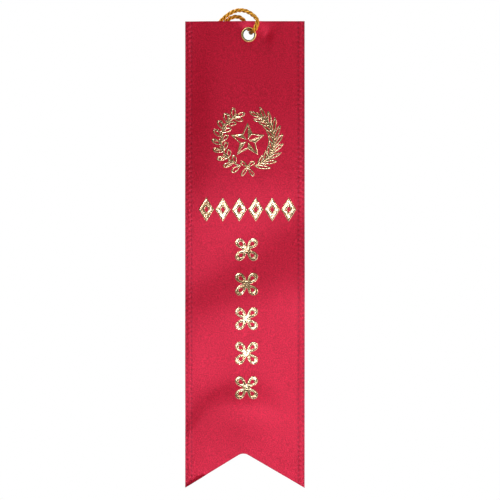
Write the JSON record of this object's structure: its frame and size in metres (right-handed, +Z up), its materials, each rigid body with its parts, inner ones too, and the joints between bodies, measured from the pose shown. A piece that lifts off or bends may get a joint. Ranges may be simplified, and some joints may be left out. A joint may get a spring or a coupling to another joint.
{
  "type": "award ribbon",
  "caption": "Vertical satin award ribbon with a swallowtail end, foil star, wreath and ornaments, a small brass eyelet and a looped twisted cord.",
  "frame": {"origin": "centre of the eyelet's hole, halfway through the cloth; the ribbon hangs from it", "axes": "+Z up along the ribbon's length, the printed face looks towards -Y, +X to the right of that face"},
  "size_m": [0.0507, 0.0103, 0.2039],
  "materials": {
    "satin": "crimson satin, soft sheen",
    "brass_eyelet": "pale polished brass",
    "gold_foil": "hot-stamped metallised gold foil",
    "golden_cord": "golden-orange twisted rayon cord"
  },
  "bodies": {
    "ribbon": {"ribbon": "satin", "eyelet": "brass_eyelet", "foil_star": "gold_foil", "foil_wreath_left": "gold_foil", "foil_wreath_right": "gold_foil", "foil_bow": "gold_foil", "foil_lozenge_1": "gold_foil", "foil_lozenge_2": "gold_foil", "foil_lozenge_3": "gold_foil", "foil_lozenge_4": "gold_foil", "foil_lozenge_5": "gold_foil", "foil_lozenge_6": "gold_foil", "foil_rosette_1": "gold_foil", "foil_rosette_2": "gold_foil", "foil_rosette_3": "gold_foil", "foil_rosette_4": "gold_foil", "foil_rosette_5": "gold_foil"},
    "cord_threaded": {"cord_in_eyelet": "golden_cord"},
    "cord_loop": {"cord_strand_front": "golden_cord", "cord_strand_back": "golden_cord", "cord_knot": "golden_cord", "cord_tail_front": "golden_cord", "cord_tail_back": "golden_cord"}
  },
  "joints": [
    {"name": "cord_swing", "type": "hinge", "parent": "ribbon", "child": "cord_threaded", "pos_m": [0, 0, 0], "axis": [0, 1, 0], "range_deg": [-10, 25]},
    {"name": "loop_fold", "type": "hinge", "parent": "cord_threaded", "child": "cord_loop", "pos_m": [-0.0048, 0.0016, 0.0092], "axis": [1, 0, 0], "range_deg": [0, 175]}
  ]
}
